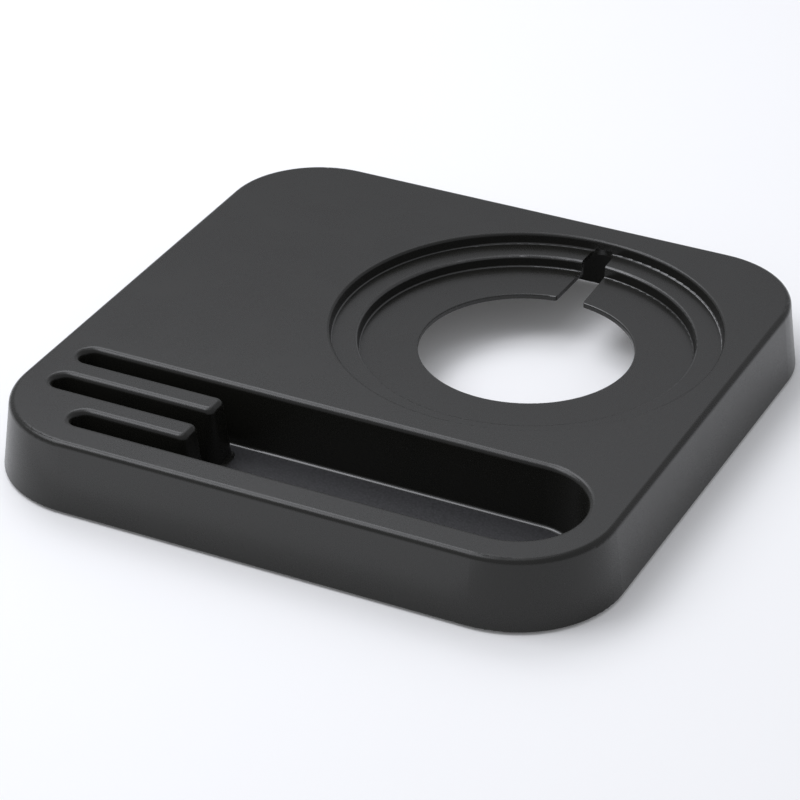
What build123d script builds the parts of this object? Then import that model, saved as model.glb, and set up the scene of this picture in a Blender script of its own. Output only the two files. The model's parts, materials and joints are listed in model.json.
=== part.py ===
"""Counter-top tray with a stepped round seat: one hollow plastic moulding on four push-in rubber feet.

The seat has a central hole and, behind it, a notch that lets an appliance's cord down under the tray. Along
the front runs a deep trough, whose left end two dividers split into three standing slots. Millimetres, +Z up.
The origin is on the counter under the middle of the tray. +X runs along the trough to its round end, and +Y
from the trough to the seat.
"""

from build123d import *
import math
import os

# ---- moulding
top_side = 360.0  # square top face, to its sharp edges
top_corner_radius = 57.0
shell_height = 41.8  # from the skirt's foot to the top face
wall = 3.0
draft = 6.8  # degrees, on the skirt and on the trough's walls
edge_round = 3.6  # skirt into top face, and top face into trough
skirt_foot_round = 0.8

# ---- round seat, with its upper step, hole and notch
seat_from_right = 128.8  # from the seat's axis to the top face's right edge
seat_from_back = 132.6
seat_radius = 96.2  # lower floor
step_width = 16.0  # from the lower wall's foot to the upper wall's foot
step_depth = 6.9  # of each of the two steps
step_draft = 5.0  # degrees
step_edge_round = 2.0
step_foot_round = 0.9
hole_radius = 62.3
hole_edge_round = 0.8
notch_mouth_width = 17.0
notch_end_width = 14.4
notch_overrun = 2.4  # how far its round end bites past the upper wall's foot
notch_rise = 1.6  # how far that bite goes up the upper wall
notch_corner_radius = 1.8

# ---- trough, dividers and slots
front_land = 20.3  # from the trough to the top face's front edge
right_land = 19.2
left_land = 18.0
trough_floor_gap = 2.4  # from the skirt's foot up to the underside of the trough's floor
foot_round_share = 0.38  # round at the trough's foot, as a share of a slot's width down there
slot_width = 14.9
divider_width = 15.35
divider_reach = 97.1  # from the two long slots' round ends to the dividers' free ends
short_slot_setback = 30.5  # how much nearer the front slot's round end is
divider_corner_radius = 4.4

# ---- way out for a cord, under the tray
cord_exit_width = 12.0
cord_exit_height = 9.5

# ---- feet and the posts that hold them
foot_stand = 1.5  # gap between the counter and the skirt's foot
foot_inset = 23.0  # from the top face's edges to the feet's axes
foot_radius = 7.5
foot_height = 4.0
foot_edge_round = 1.0
foot_cup_radius = 4.5  # shallow suction cup in the underside
foot_cup_depth = 0.8
stem_radius = 2.3
stem_length = 12.0
barb_radius = 2.95
barb_length = 2.6
barb_count = 3
barb_clearance = 0.05
stem_end_clearance = 1.5
post_radius = 5.8
post_draft = 1.0  # degrees
gusset_thickness = 2.2
gusset_depth = 24.0  # down from the underside of the top

# ---- worked out from the values above
top_half = top_side / 2
top_z = foot_stand + shell_height
ring_z = top_z - step_depth
floor_z = ring_z - step_depth
ring_radius = seat_radius + step_width
step_slope = math.tan(math.radians(step_draft))
draft_slope = math.tan(math.radians(draft))
wall_across = wall / math.cos(math.radians(draft))
step_wall_across = wall / math.cos(math.radians(step_draft))
post_foot_z = foot_height
bore_radius = barb_radius + barb_clearance
bore_top_z = post_foot_z + stem_length + stem_end_clearance
slot_pitch = slot_width + divider_width
trough_width = slot_width + 2 * slot_pitch
trough_depth = shell_height - trough_floor_gap - wall
slot_foot_width = slot_width - 2 * trough_depth * draft_slope
trough_foot_round = foot_round_share * slot_foot_width
trough_back = front_land + trough_width - top_half
trough_right = top_half - right_land
long_slot_left = left_land - top_half
short_slot_left = long_slot_left + short_slot_setback
divider_right = long_slot_left + divider_reach
seat_x = top_half - seat_from_right
seat_y = top_half - seat_from_back
notch_end_y = seat_y + ring_radius + notch_overrun
foot_half_spacing = top_half - foot_inset
skirt_foot_side = top_side + 2 * shell_height * draft_slope


def drafted_block(side, corner_radius, high_z, height):
    """Square block with round corners, of the given side at high_z, that widens downwards like the skirt."""
    spread = height * draft_slope
    foot = RectangleRounded(side + 2 * spread, side + 2 * spread, corner_radius + spread)
    return Pos(0, 0, high_z - height) * extrude(foot, height, taper=draft)


def drafted_pocket(outline, depth):
    """Solid that has the given outline at the top face and narrows downwards like the trough."""
    return Pos(0, 0, top_z) * mirror(extrude(outline, depth, taper=draft), about=Plane.XY)


def trough_outline():
    """Plan of the trough and its three slots at the top face."""
    middle_y = trough_back - trough_width / 2
    round_x = trough_right - trough_width / 2
    outline = Pos(round_x, middle_y) * Circle(trough_width / 2)
    outline += Pos((divider_right + round_x) / 2, middle_y) * Rectangle(round_x - divider_right, trough_width)
    back_y = trough_back - slot_width / 2
    slots = (
        (long_slot_left, back_y),
        (long_slot_left, back_y - slot_pitch),
        (short_slot_left, back_y - 2 * slot_pitch),
    )
    for left_x, y in slots:
        round_left = left_x + slot_width / 2
        outline += Pos(round_left, y) * Circle(slot_width / 2)
        outline += Pos((round_left + divider_right) / 2, y) * Rectangle(divider_right - round_left, slot_width)
    divider_ends = outline.vertices().filter_by(lambda v: abs(v.X - divider_right) < 0.01)
    return fillet(divider_ends, divider_corner_radius)


def turned(points):
    """Solid turned about the seat's axis from a closed outline of (radius, z) points."""
    outline = make_face(Plane.XZ * Polyline(*points, close=True))
    return Pos(seat_x, seat_y, 0) * revolve(outline, Axis.Z)


def circle_edges(solid, radius, z):
    """Circular edges of a solid that have the given radius and height."""
    circles = solid.edges().filter_by(GeomType.CIRCLE)
    return circles.filter_by(lambda e: abs(e.radius - radius) < 0.01 and abs(e.arc_center.Z - z) < 0.01)


def seat_space():
    """Space above the two steps of the seat, up to the top face, and down through its round hole."""
    run = step_depth * step_slope
    space = turned(
        (
            (0, top_z),
            (ring_radius + run, top_z),
            (ring_radius, ring_z),
            (seat_radius + run, ring_z),
            (seat_radius, floor_z),
            (hole_radius, floor_z),
            (hole_radius, 0),
            (0, 0),
        )
    )
    space = fillet(circle_edges(space, seat_radius + run, ring_z), step_edge_round)
    space = fillet(circle_edges(space, ring_radius, ring_z), step_foot_round)
    space = fillet(circle_edges(space, seat_radius, floor_z), step_foot_round)
    return fillet(circle_edges(space, hole_radius, floor_z), hole_edge_round)


def seat_underside():
    """The seat's space grown by the wall, which leaves its steps one wall thick."""
    outer = ring_radius + step_wall_across
    inner = seat_radius + step_wall_across
    return turned(
        (
            (0, top_z),
            (outer + step_depth * step_slope, top_z),
            (outer - wall * step_slope, ring_z - wall),
            (inner + (step_depth - wall) * step_slope, ring_z - wall),
            (inner - wall * step_slope, floor_z - wall),
            (0, floor_z - wall),
        )
    )


def hole_and_notch():
    """Cutter for the seat's hole and the notch that leads from it under the upper wall."""
    mouth_half = notch_mouth_width / 2
    end_radius = notch_end_width / 2
    mouth_y = seat_y + hole_radius
    end_centre_y = notch_end_y - end_radius
    start_y = seat_y + hole_radius / 2
    start_half = mouth_half + (mouth_half - end_radius) * (mouth_y - start_y) / (end_centre_y - mouth_y)
    sides = Polyline(
        (seat_x - start_half, start_y),
        (seat_x - end_radius, end_centre_y),
        (seat_x + end_radius, end_centre_y),
        (seat_x + start_half, start_y),
        close=True,
    )
    outline = Pos(seat_x, seat_y) * Circle(hole_radius) + make_face(sides)
    outline += Pos(seat_x, end_centre_y) * Circle(end_radius)
    mouth = outline.vertices().filter_by(lambda v: start_y < v.Y < mouth_y and abs(v.X - seat_x) < start_half)
    return extrude(fillet(mouth, notch_corner_radius), ring_z + notch_rise)


def moulding_outside():
    """Block with the trough and the seat let into its top, solid inside."""
    block = drafted_block(top_side, top_corner_radius, top_z, shell_height)
    trough = drafted_pocket(trough_outline(), trough_depth)
    trough = fillet(trough.faces().sort_by(Axis.Z)[0].edges(), trough_foot_round)
    block -= trough
    block = fillet(block.faces().sort_by(Axis.Z)[-1].edges(), edge_round)
    block = fillet(block.faces().sort_by(Axis.Z)[0].edges(), skirt_foot_round)
    block -= seat_space()
    rim_radius = ring_radius + step_depth * step_slope
    return fillet(circle_edges(block, rim_radius, top_z), step_edge_round)


def foot_places():
    """Name and plan position of each foot."""
    for y_name, y in (("front", -foot_half_spacing), ("back", foot_half_spacing)):
        for x_name, x in (("left", -foot_half_spacing), ("right", foot_half_spacing)):
            yield f"foot_{y_name}_{x_name}", x, y


def foot_posts():
    """Drafted posts from the underside of the top down to the feet."""
    height = top_z - wall - post_foot_z
    root_radius = post_radius + height * math.tan(math.radians(post_draft))
    middle_z = post_foot_z + height / 2
    return [Pos(x, y, middle_z) * Cone(post_radius, root_radius, height) for _, x, y in foot_places()]


def post_gussets():
    """Thin webs that run from each post outwards to the skirt."""
    middle_z = top_z - wall - gusset_depth / 2
    gussets = []
    for _, x, y in foot_places():
        outwards_x = math.copysign(foot_inset / 2, x)
        outwards_y = math.copysign(foot_inset / 2, y)
        gussets.append(Pos(x + outwards_x, y, middle_z) * Box(foot_inset, gusset_thickness, gusset_depth))
        gussets.append(Pos(x, y + outwards_y, middle_z) * Box(gusset_thickness, foot_inset, gusset_depth))
    return gussets


def moulding_inside():
    """Hollow under the moulding: what the block loses to become a shell of even wall."""
    hollow = drafted_block(
        top_side - 2 * wall_across,
        top_corner_radius - wall_across,
        top_z - wall,
        shell_height,
    )
    trough_outside = drafted_pocket(offset(trough_outline(), wall_across), trough_depth + wall)
    hollow -= trough_outside
    hollow -= seat_underside()
    hollow -= post_gussets()
    return hollow - foot_posts()


def foot_bores():
    depth = bore_top_z - post_foot_z
    return [Pos(x, y, bore_top_z - depth / 2) * Cylinder(bore_radius, depth) for _, x, y in foot_places()]


def cord_exit():
    """Arch in the foot of the back skirt, in line with the notch."""
    radius = cord_exit_width / 2
    straight = cord_exit_height - radius
    arch = Pos(0, foot_stand + straight / 2) * Rectangle(cord_exit_width, straight)
    arch += Pos(0, foot_stand + straight) * Circle(radius)
    arch += Pos(0, 0) * Rectangle(cord_exit_width, 2 * foot_stand)
    return Pos(seat_x, skirt_foot_side / 2 + wall, 0) * extrude(Plane.XZ * arch, 3 * wall)


def tray_shell():
    shell = moulding_outside() - moulding_inside()
    shell -= hole_and_notch()
    shell -= foot_bores()
    return shell - cord_exit()


def rubber_foot():
    """Round foot with a barbed stem, standing on the origin."""
    rise = stem_length / (barb_count + 1)
    points = [(foot_cup_radius, 0), (foot_radius, 0), (foot_radius, foot_height), (stem_radius, foot_height)]
    for number in range(barb_count):
        barb_z = foot_height + (number + 1) * rise
        points += [(stem_radius, barb_z), (barb_radius, barb_z), (stem_radius, barb_z + barb_length)]
    points += [(stem_radius, foot_height + stem_length), (0, foot_height + stem_length)]
    points += [(0, foot_cup_depth)]
    foot = revolve(make_face(Plane.XZ * Polyline(*points, close=True)), Axis.Z)
    outer = foot.edges().filter_by(GeomType.CIRCLE).filter_by(lambda e: abs(e.radius - foot_radius) < 0.01)
    return fillet(outer.sort_by(Axis.Z)[0], foot_edge_round)


def main():
    os.makedirs("parts", exist_ok=True)
    export_step(tray_shell(), "parts/tray_shell.step")
    foot = rubber_foot()
    for name, x, y in foot_places():
        export_step(Pos(x, y, 0) * foot, f"parts/{name}.step")


main()
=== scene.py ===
"""Finish and studio for the counter tray: grained black plastic, rubber feet, soft light and a camera."""

import json
import math

import bpy
from bpy.props import FloatProperty, FloatVectorProperty, PointerProperty
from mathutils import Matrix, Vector


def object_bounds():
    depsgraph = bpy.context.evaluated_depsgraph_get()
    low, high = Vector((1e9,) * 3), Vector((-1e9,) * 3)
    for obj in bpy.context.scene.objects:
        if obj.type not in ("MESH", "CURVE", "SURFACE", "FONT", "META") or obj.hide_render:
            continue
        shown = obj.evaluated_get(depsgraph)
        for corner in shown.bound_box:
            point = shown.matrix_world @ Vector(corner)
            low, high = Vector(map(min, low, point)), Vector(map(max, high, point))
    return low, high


bl_info = {
    "name": "Counter tray studio",
    "version": (1, 0, 0),
    "blender": (4, 5, 0),
    "location": "3D View > Sidebar > Tray",
    "description": "Gives the moulded tray its grain and its feet their rubber, and sets up the studio",
    "category": "Object",
}

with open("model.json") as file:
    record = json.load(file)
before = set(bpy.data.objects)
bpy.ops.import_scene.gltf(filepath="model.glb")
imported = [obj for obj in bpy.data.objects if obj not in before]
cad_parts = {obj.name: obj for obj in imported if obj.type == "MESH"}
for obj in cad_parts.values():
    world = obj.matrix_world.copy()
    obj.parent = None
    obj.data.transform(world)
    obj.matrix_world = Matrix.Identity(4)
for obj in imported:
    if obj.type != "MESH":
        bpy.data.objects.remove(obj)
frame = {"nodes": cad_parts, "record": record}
CAD_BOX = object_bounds()

TRAY = "tray_shell"
FEET = [name for name in frame["nodes"] if name.startswith("foot_")]


def mount_place(name):
    """Where one of the part's mounts is."""
    return Vector(next(m["pos_m"] for m in frame["record"]["mounts"] if m["name"] == name))


def opening_floor(name):
    """Height of the lowest face of one of the part's openings."""
    return next(o["box_m"][0][2] for o in frame["record"]["physics"]["openings"] if o["name"] == name)


TOP = CAD_BOX[1][2]
SEAT_AXIS = mount_place("seat_hole")
SEAT_STEP = mount_place("seat_step").z
TROUGH_FLOOR = opening_floor("trough")


# ---- settings


class TrayPlasticSettings(bpy.types.PropertyGroup):
    """Look of the moulded plastic."""

    colour: FloatVectorProperty(
        name="Colour", description="Colour of the plastic", subtype="COLOR", size=3, min=0, max=1,
        default=(0.0084, 0.0083, 0.0068),
    )
    roughness: FloatProperty(
        name="Roughness", description="Roughness of the grained outer faces", subtype="FACTOR",
        min=0, max=1, default=0.28,
    )
    grain_size: FloatProperty(
        name="Grain size", description="Width of one grain of the mould's texture", unit="LENGTH",
        min=0.0001, max=0.005, default=0.0007, precision=5,
    )
    grain_depth: FloatProperty(
        name="Grain depth", description="Height of the mould's texture", unit="LENGTH",
        min=0, max=0.001, default=0.000012, precision=6,
    )
    trough_colour: FloatVectorProperty(
        name="Trough floor colour", description="Colour of the trough's coarser floor", subtype="COLOR",
        size=3, min=0, max=1, default=(0.027, 0.027, 0.029),
    )
    floor_roughness: FloatProperty(
        name="Trough floor roughness", description="Roughness of the trough's coarser floor",
        subtype="FACTOR", min=0, max=1, default=0.65,
    )
    floor_grain_size: FloatProperty(
        name="Trough floor grain size", description="Width of one grain of the trough's floor",
        unit="LENGTH", min=0.0001, max=0.01, default=0.0016, precision=5,
    )
    floor_grain_depth: FloatProperty(
        name="Trough floor grain depth", description="Height of the trough floor's texture",
        unit="LENGTH", min=0, max=0.001, default=0.00012, precision=6,
    )
    recess_gloss: FloatProperty(
        name="Recess gloss", description="How polished the small rounds inside the seat and the trough are",
        subtype="FACTOR", min=0, max=1, default=0.8,
    )
    inside_roughness: FloatProperty(
        name="Inside roughness", description="Roughness of the plain faces under the tray",
        subtype="FACTOR", min=0, max=1, default=0.3,
    )
    wear: FloatProperty(
        name="Wear", description="How far use has polished the edges and rubbed the seat",
        subtype="FACTOR", min=0, max=1, default=0.5,
    )


class FootRubberSettings(bpy.types.PropertyGroup):
    """Look of the rubber feet."""

    colour: FloatVectorProperty(
        name="Colour", description="Colour of the rubber", subtype="COLOR", size=3, min=0, max=1,
        default=(0.021, 0.021, 0.022),
    )
    roughness: FloatProperty(
        name="Roughness", description="Roughness of clean rubber", subtype="FACTOR", min=0, max=1,
        default=0.62,
    )
    dust: FloatProperty(
        name="Dust", description="How much dust the feet have picked up from the counter",
        subtype="FACTOR", min=0, max=1, default=0.35,
    )


class StudioSettings(bpy.types.PropertyGroup):
    """Floor, lights and camera."""

    floor_colour: FloatVectorProperty(
        name="Floor colour", description="Colour of the floor", subtype="COLOR", size=3, min=0, max=1,
        default=(0.9, 0.9, 0.9),
    )
    floor_side: FloatProperty(
        name="Floor side", description="Side of the square floor", unit="LENGTH", default=9.0,
    )
    floor_glow: FloatProperty(
        name="Floor glow", description="Radiance of the floor itself, lit from below", min=0, default=0.07,
    )
    light_colour: FloatVectorProperty(
        name="Light colour", description="Colour of every softbox and of the room around", subtype="COLOR",
        size=3, min=0, max=1, default=(0.937, 0.95, 1.0),
    )
    surround: FloatProperty(
        name="Surround", description="Radiance of the room around the studio", min=0, default=0.47,
    )
    overhead: FloatProperty(
        name="Overhead", description="Radiance of the softbox above", min=0, default=0.7,
    )
    back: FloatProperty(
        name="Back", description="Radiance of the wide softbox behind", min=0, default=0.62,
    )
    back_left: FloatProperty(
        name="Back left", description="Radiance of the softbox behind on the left", min=0, default=2.8,
    )
    high_left: FloatProperty(
        name="High left", description="Radiance of the high softbox on the left", min=0, default=2.7,
    )
    left: FloatProperty(
        name="Left", description="Radiance of the softbox on the left", min=0, default=2.6,
    )
    front_left: FloatProperty(
        name="Front left", description="Radiance of the small softbox in front on the left",
        min=0, default=1.4,
    )
    high_front: FloatProperty(
        name="High front", description="Radiance of the high softbox in front", min=0, default=1.1,
    )
    front_card: FloatProperty(
        name="Front card", description="Radiance of the glowing card that lies in front of the tray",
        min=0, default=0.45,
    )
    azimuth: FloatProperty(
        name="Azimuth", description="Turn of the camera round the tray, from the front to the right",
        unit="ROTATION", default=math.radians(26.32),
    )
    elevation: FloatProperty(
        name="Elevation", description="Angle of the camera above the counter", unit="ROTATION",
        default=math.radians(31.01),
    )
    distance: FloatProperty(
        name="Distance", description="From the camera to its aim", unit="LENGTH", default=1.9411,
    )
    aim: FloatVectorProperty(
        name="Aim", description="Point that the camera looks at", subtype="TRANSLATION", size=3,
        default=(-0.00815, 0.00392, 0.0015),
    )
    lens: FloatProperty(name="Lens", description="Focal length in millimetres", min=1, default=151.69)


# ---- shader kit


class Value:
    """What one socket gives. Arithmetic on a number adds Math nodes."""

    def __init__(self, shader, socket):
        self.shader = shader
        self.socket = socket

    def _math(self, operation, first, second=0.0):
        return self.shader.value("ShaderNodeMath", {"operation": operation}, {0: first, 1: second})

    def __add__(self, other):
        return self._math("ADD", self, other)

    def __radd__(self, other):
        return self._math("ADD", other, self)

    def __sub__(self, other):
        return self._math("SUBTRACT", self, other)

    def __rsub__(self, other):
        return self._math("SUBTRACT", other, self)

    def __mul__(self, other):
        return self._math("MULTIPLY", self, other)

    def __rmul__(self, other):
        return self._math("MULTIPLY", other, self)

    def __truediv__(self, other):
        return self._math("DIVIDE", self, other)

    def __pow__(self, other):
        return self._math("POWER", self, other)

    def at_most(self, limit):
        return self._math("MINIMUM", self, limit)

    def at_least(self, limit):
        return self._math("MAXIMUM", self, limit)

    def fraction(self):
        return self._math("FRACT", self)


class Shader:
    """A node material, built node by node."""

    def __init__(self, name):
        self.material = bpy.data.materials.new(name)
        self.material.use_nodes = True
        self.tree = self.material.node_tree
        self.tree.nodes.clear()

    def node(self, kind, settings=None, sockets=None):
        """New node of a type: its settings first, then the values or links of its sockets."""
        node = self.tree.nodes.new(kind)
        for name, setting in (settings or {}).items():
            setattr(node, name, setting)
        for name, given in (sockets or {}).items():
            if isinstance(given, Value):
                self.tree.links.new(given.socket, node.inputs[name])
            else:
                node.inputs[name].default_value = given
        return node

    def value(self, kind, settings=None, sockets=None, output=0):
        """One output of a new node."""
        return Value(self, self.node(kind, settings, sockets).outputs[output])

    def parts(self, vector):
        """X, Y and Z of a vector."""
        split = self.node("ShaderNodeSeparateXYZ", None, {0: vector})
        return [Value(self, output) for output in split.outputs]

    def noise(self, where, size, detail=2.0):
        """Soft noise from 0 to 1, with features of a size in metres."""
        return self.value("ShaderNodeTexNoise", None, {"Vector": where, "Scale": 1 / size, "Detail": detail})

    def step(self, value, low, high):
        """0 below low, 1 above high and smooth between them."""
        return self.value(
            "ShaderNodeMapRange", {"interpolation_type": "SMOOTHSTEP"},
            {"Value": value, "From Min": low, "From Max": high},
        )

    def mix(self, factor, first, second):
        """Colour between two colours."""
        return self.value("ShaderNodeMix", {"data_type": "RGBA"}, {0: factor, 6: first, 7: second}, 2)

    def mix_vectors(self, factor, first, second):
        """Vector between two vectors."""
        return self.value("ShaderNodeMix", {"data_type": "VECTOR"}, {0: factor, 4: first, 5: second}, 1)

    def unit(self, x, y, z):
        """Unit vector along a vector given by its parts."""
        vector = self.value("ShaderNodeCombineXYZ", None, {0: x, 1: y, 2: z})
        return self.value("ShaderNodeVectorMath", {"operation": "NORMALIZE"}, {0: vector})

    def dot(self, first, second):
        """Dot product of two vectors."""
        return self.value("ShaderNodeVectorMath", {"operation": "DOT_PRODUCT"}, {0: first, 1: second}, 1)

    def bump(self, height, normal):
        """Normal of a surface raised by a height in metres."""
        sockets = {"Strength": 1.0, "Distance": 1.0, "Height": height, "Normal": normal}
        return self.value("ShaderNodeBump", None, sockets)

    def finish(self, **sockets):
        """Gives the surface these sockets, and hands over the finished material."""
        titles = {name: name.replace("_", " ").title().replace("Ior", "IOR") for name in sockets}
        named = {titles[name]: given for name, given in sockets.items()}
        surface = self.value("ShaderNodeBsdfPrincipled", None, named)
        self.node("ShaderNodeOutputMaterial", None, {"Surface": surface})
        return self.material


def rgba(colour, shade=1.0):
    """A colour property as a socket's colour, made lighter or darker by a factor."""
    return (*(channel * shade for channel in colour), 1.0)


def give_finish(node, material):
    """Puts a material into every slot of a CAD node."""
    part = frame["nodes"][node]
    for slot in part.material_slots:
        slot.material = material


# ---- materials

# marks of the pins that pushed the moulding out of its tool
EJECTOR_PITCH = 0.058
EJECTOR_RADIUS = 0.004
EJECTOR_DEPTH = 0.00015
EJECTOR_EDGE = 0.0003

# the seat's rounded step edges: radius and height of each edge before it was rounded
STEP_EDGES = ((0.1128, TOP), (0.0968, SEAT_STEP))
STEP_EDGE_ROUND = 0.002
STEP_DRAFT = math.radians(5.0)

# where appliance bases rub, and how wide the patches of wear are
RUBBED_RADIUS = 0.108
RUB_RINGS_PER_METRE = 900.0
RUB_PATCH = 0.03
WEAR_PATCH = 0.028


def ejector_marks(shader, x, y):
    """Shallow round marks in rows, where pins pushed the moulding out of its tool."""
    across = ((x * (1 / EJECTOR_PITCH)).fraction() - 0.5) * EJECTOR_PITCH
    along = ((y * (1 / EJECTOR_PITCH)).fraction() - 0.5) * EJECTOR_PITCH
    distance = (across * across + along * along) ** 0.5
    return 1 - shader.step(distance, EJECTOR_RADIUS - EJECTOR_EDGE, EJECTOR_RADIUS)


def rub_rings(shader, where, from_axis):
    """Faint rings round the seat's axis, broken up, where appliance bases turn."""
    rings = shader.value(
        "ShaderNodeTexNoise", {"noise_dimensions": "1D"},
        {"W": from_axis, "Scale": RUB_RINGS_PER_METRE, "Detail": 2.0},
    )
    near = 1 - shader.step(from_axis, RUBBED_RADIUS, RUBBED_RADIUS + 0.004)
    return shader.step(rings, 0.55, 0.7) * shader.step(shader.noise(where, RUB_PATCH), 0.5, 0.7) * near


def true_step_edges(shader, normal, out_x, out_y, from_axis, z):
    """Normal that follows the circle of each rounded step edge, where the mesh has coarse facets."""
    for edge_radius, edge_z in STEP_EDGES:
        centre = edge_radius + STEP_EDGE_ROUND / math.tan(math.pi / 4 + STEP_DRAFT / 2)
        centre_z = edge_z - STEP_EDGE_ROUND
        inwards = (from_axis - centre).at_most(0) / from_axis
        up = (z - centre_z).at_least(STEP_EDGE_ROUND * math.sin(STEP_DRAFT))
        true = shader.unit(out_x * inwards, out_y * inwards, up)
        near = shader.step(from_axis, edge_radius - 0.0010, edge_radius - 0.0005)
        near = near * (1 - shader.step(from_axis, centre + 0.0002, centre + 0.0006))
        near = near * shader.step(z, centre_z - 0.0006, centre_z)
        near = near * shader.step(shader.dot(normal, true), 0.7, 0.85)
        normal = shader.mix_vectors(near, normal, true)
    return normal


def tray_plastic(look):
    """Moulded black plastic: fine grain outside, coarse in the trough's floor and plain underneath."""
    shader = Shader("tray_plastic_grained")
    place = shader.node("ShaderNodeTexCoord")
    where = Value(shader, place.outputs["Object"])
    x, y, z = shader.parts(where)
    out_x = x - SEAT_AXIS.x
    out_y = y - SEAT_AXIS.y
    from_axis = (out_x ** 2 + out_y ** 2) ** 0.5
    facets = Value(shader, place.outputs["Normal"])
    normal = true_step_edges(shader, facets, out_x, out_y, from_axis, z)
    tilt = shader.parts(normal)[2]

    level = shader.step(tilt, 0.97, 0.995)
    under = 1 - shader.step(tilt, -0.02, -0.005)
    ceiling = 1 - shader.step(tilt, -0.99, -0.97)
    trough_floor = level * (1 - shader.step(z, TROUGH_FLOOR + 0.001, TROUGH_FLOOR + 0.003))
    edge = shader.step(tilt, 0.2, 0.45) * (1 - shader.step(tilt, 0.9, 0.985))
    recess_round = edge * (1 - shader.step(z, TOP - 0.0055, TOP - 0.0045))
    patches = shader.noise(where, WEAR_PATCH, 3.0)
    worn = edge * shader.step(patches, 0.42, 0.62) * look.wear
    rubbed = level * (1 - trough_floor) * rub_rings(shader, where, from_axis) * look.wear

    fine = shader.noise(where, look.grain_size, 3.0)
    coarse = shader.value(
        "ShaderNodeTexVoronoi", {"feature": "SMOOTH_F1"},
        {"Vector": where, "Scale": 1 / look.floor_grain_size, "Smoothness": 0.6}, "Distance",
    )
    grained = 1 - 0.8 * under
    height = fine * look.grain_depth * grained + coarse * trough_floor * look.floor_grain_depth
    height = height - ejector_marks(shader, x, y) * ceiling * EJECTOR_DEPTH

    roughness = look.roughness + (patches - 0.5) * 0.08 + (fine - 0.5) * 0.1
    roughness = roughness + trough_floor * (look.floor_roughness - look.roughness)
    roughness = roughness + under * (look.inside_roughness - look.roughness)
    roughness = roughness - worn * 0.05 - rubbed * 0.05

    tone = shader.mix(patches, rgba(look.colour, 0.85), rgba(look.colour, 1.15))
    tone = shader.mix(fine * 0.25, tone, rgba(look.colour, 1.5))
    floor_tone = shader.mix(coarse, rgba(look.trough_colour, 1.35), rgba(look.trough_colour, 0.6))
    tone = shader.mix(trough_floor, tone, floor_tone)
    tone = shader.mix(worn * 0.35 + rubbed * 0.25, tone, rgba(look.colour, 2.0))
    return shader.finish(
        base_color=tone, roughness=roughness, normal=shader.bump(height, normal), ior=1.45,
        coat_weight=recess_round * look.recess_gloss, coat_roughness=0.18,
    )


DUST_COLOUR = (0.16, 0.155, 0.145)
PIT_SIZE = 0.0005
PIT_DEPTH = 0.00002


def foot_rubber(look):
    """Matt black rubber with a fine pitted grain, dusty where it stands on the counter."""
    shader = Shader("foot_rubber_matt")
    place = shader.node("ShaderNodeTexCoord")
    where = Value(shader, place.outputs["Object"])
    z = shader.parts(where)[2]
    pits = shader.noise(where, PIT_SIZE, 3.0)
    patches = shader.noise(where, 0.006, 3.0)
    dusty = (1 - shader.step(z, 0.0004, 0.0024)) * shader.step(patches, 0.35, 0.65) * look.dust
    tone = shader.mix(pits * 0.4, rgba(look.colour, 0.8), rgba(look.colour, 1.4))
    tone = shader.mix(dusty, tone, rgba(DUST_COLOUR))
    roughness = look.roughness + (pits - 0.5) * 0.15 + dusty * 0.25
    normal = shader.bump(pits * PIT_DEPTH, Value(shader, place.outputs["Normal"]))
    return shader.finish(base_color=tone, roughness=roughness, normal=normal, ior=1.48)


WHITE = (1.0, 1.0, 1.0)


def floor_paint(colour, glow):
    """Plain pale matt paint with a barely visible mottle, and a little light of its own."""
    shader = Shader("floor_paint")
    where = Value(shader, shader.node("ShaderNodeTexCoord").outputs["Object"])
    mottle = shader.noise(where, 0.2, 3.0)
    tone = shader.mix(mottle, rgba(colour, 0.99), rgba(colour))
    return shader.finish(
        base_color=tone, roughness=0.9 + 0.05 * mottle, specular_ior_level=0.0,
        emission_color=rgba(WHITE), emission_strength=glow,
    )


# ---- studio

# where each softbox stands: azimuth and elevation in degrees, then distance, width and height in metres
SOFTBOXES = {
    "overhead": (0, 89, 1.9, 1.2, 1.2),
    "back": (-147, 50, 2.2, 1.6, 1.4),
    "back_left": (-130, 56, 2.0, 0.9, 0.9),
    "high_left": (-76, 66, 2.0, 0.8, 0.8),
    "left": (-64, 48, 2.0, 1.2, 0.8),
    "front_left": (-50, 58, 2.0, 0.6, 0.6),
    "high_front": (-30, 64, 2.0, 0.8, 0.8),
}

# the card that lies face up in front of the tray, just clear of the floor
CARD_PLACE = (-0.07, -0.34, 0.002)
CARD_SIZE = (0.34, 0.24)


def direction(azimuth, elevation):
    """Unit vector to a place round the tray, turned from the front to the right and raised."""
    level = math.cos(elevation)
    return Vector((math.sin(azimuth) * level, -math.cos(azimuth) * level, math.sin(elevation)))


def soft_light(name, place, size, radiance, colour):
    """Rectangular softbox that faces the tray and isn't seen by the camera."""
    data = bpy.data.lights.new(name, "AREA")
    data.shape = "RECTANGLE"
    data.size, data.size_y = size
    data.energy = radiance * math.pi * size[0] * size[1]
    data.color = colour
    light = bpy.data.objects.new(name, data)
    bpy.context.scene.collection.objects.link(light)
    light.location = place
    light.rotation_euler = (-place).to_track_quat("-Z", "Y").to_euler()
    light.visible_camera = False
    return light


def studio_floor(studio):
    """Square floor under the tray."""
    half = studio.floor_side / 2
    corners = [(-half, -half, 0), (half, -half, 0), (half, half, 0), (-half, half, 0)]
    mesh = bpy.data.meshes.new("studio_floor")
    mesh.from_pydata(corners, [], [(0, 1, 2, 3)])
    mesh.materials.append(floor_paint(studio.floor_colour, studio.floor_glow))
    floor = bpy.data.objects.new("studio_floor", mesh)
    bpy.context.scene.collection.objects.link(floor)
    return floor


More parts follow.
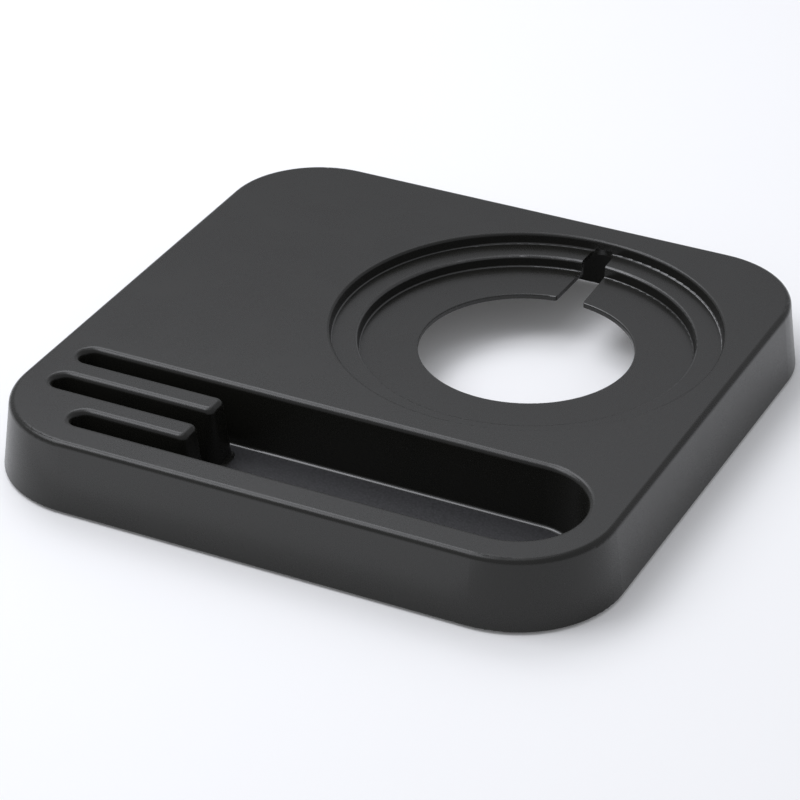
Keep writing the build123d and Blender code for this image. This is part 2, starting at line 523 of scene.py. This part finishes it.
def studio_surround(radiance, colour):
    """Even pale room, seen in the gloss of what faces past the lights."""
    world = bpy.data.worlds.new("studio_surround")
    world.use_nodes = True
    background = world.node_tree.nodes["Background"]
    background.inputs["Color"].default_value = rgba(colour)
    background.inputs["Strength"].default_value = radiance
    bpy.context.scene.world = world


def studio_camera(studio):
    """Camera on its line of sight through the aim."""
    data = bpy.data.cameras.new("studio_camera")
    data.lens = studio.lens
    data.sensor_width = 36.0
    camera = bpy.data.objects.new("studio_camera", data)
    bpy.context.scene.collection.objects.link(camera)
    back = direction(studio.azimuth, studio.elevation)
    camera.location = Vector(studio.aim) + back * studio.distance
    camera.rotation_euler = (-back).to_track_quat("-Z", "Y").to_euler()
    bpy.context.scene.camera = camera


# ---- operators


class TRAY_OT_finish_moulding(bpy.types.Operator):
    """Give the moulded tray its grained black plastic"""

    bl_idname = "tray.finish_moulding"
    bl_label = "Finish moulding"

    def execute(self, context):
        give_finish(TRAY, tray_plastic(context.scene.tray_plastic))
        return {"FINISHED"}


class TRAY_OT_finish_feet(bpy.types.Operator):
    """Give the push-in feet their matt rubber"""

    bl_idname = "tray.finish_feet"
    bl_label = "Finish feet"

    def execute(self, context):
        rubber = foot_rubber(context.scene.tray_rubber)
        for name in FEET:
            give_finish(name, rubber)
        return {"FINISHED"}


class TRAY_OT_set_studio(bpy.types.Operator):
    """Set up the floor, the lights and the camera"""

    bl_idname = "tray.set_studio"
    bl_label = "Set up studio"

    def execute(self, context):
        studio = context.scene.tray_studio
        studio_floor(studio)
        studio_surround(studio.surround, studio.light_colour)
        for name, (azimuth, elevation, distance, *size) in SOFTBOXES.items():
            place = direction(math.radians(azimuth), math.radians(elevation)) * distance
            soft_light(name, place, size, getattr(studio, name), studio.light_colour)
        card = soft_light(
            "front_card", Vector(CARD_PLACE), CARD_SIZE, studio.front_card, studio.light_colour,
        )
        card.rotation_euler = (math.pi, 0, 0)
        studio_camera(studio)
        context.scene.view_settings.view_transform = "Standard"
        return {"FINISHED"}


class TRAY_PT_studio(bpy.types.Panel):
    """Sizes, colours and steps of the tray's studio"""

    bl_idname = "TRAY_PT_studio"
    bl_label = "Counter tray"
    bl_space_type = "VIEW_3D"
    bl_region_type = "UI"
    bl_category = "Tray"

    def draw(self, context):
        steps = (
            ("tray_plastic", TrayPlasticSettings, TRAY_OT_finish_moulding),
            ("tray_rubber", FootRubberSettings, TRAY_OT_finish_feet),
            ("tray_studio", StudioSettings, TRAY_OT_set_studio),
        )
        for pointer, settings, operator in steps:
            box = self.layout.box()
            for name in settings.__annotations__:
                box.prop(getattr(context.scene, pointer), name)
            box.operator(operator.bl_idname)


CLASSES = (
    TrayPlasticSettings, FootRubberSettings, StudioSettings,
    TRAY_OT_finish_moulding, TRAY_OT_finish_feet, TRAY_OT_set_studio,
    TRAY_PT_studio,
)


def register():
    for kind in CLASSES:
        bpy.utils.register_class(kind)
    bpy.types.Scene.tray_plastic = PointerProperty(type=TrayPlasticSettings)
    bpy.types.Scene.tray_rubber = PointerProperty(type=FootRubberSettings)
    bpy.types.Scene.tray_studio = PointerProperty(type=StudioSettings)


def unregister():
    del bpy.types.Scene.tray_studio
    del bpy.types.Scene.tray_rubber
    del bpy.types.Scene.tray_plastic
    for kind in reversed(CLASSES):
        bpy.utils.unregister_class(kind)


def main():
    register()
    bpy.ops.tray.finish_moulding()
    bpy.ops.tray.finish_feet()
    bpy.ops.tray.set_studio()


if __name__ == "__main__":
    main()
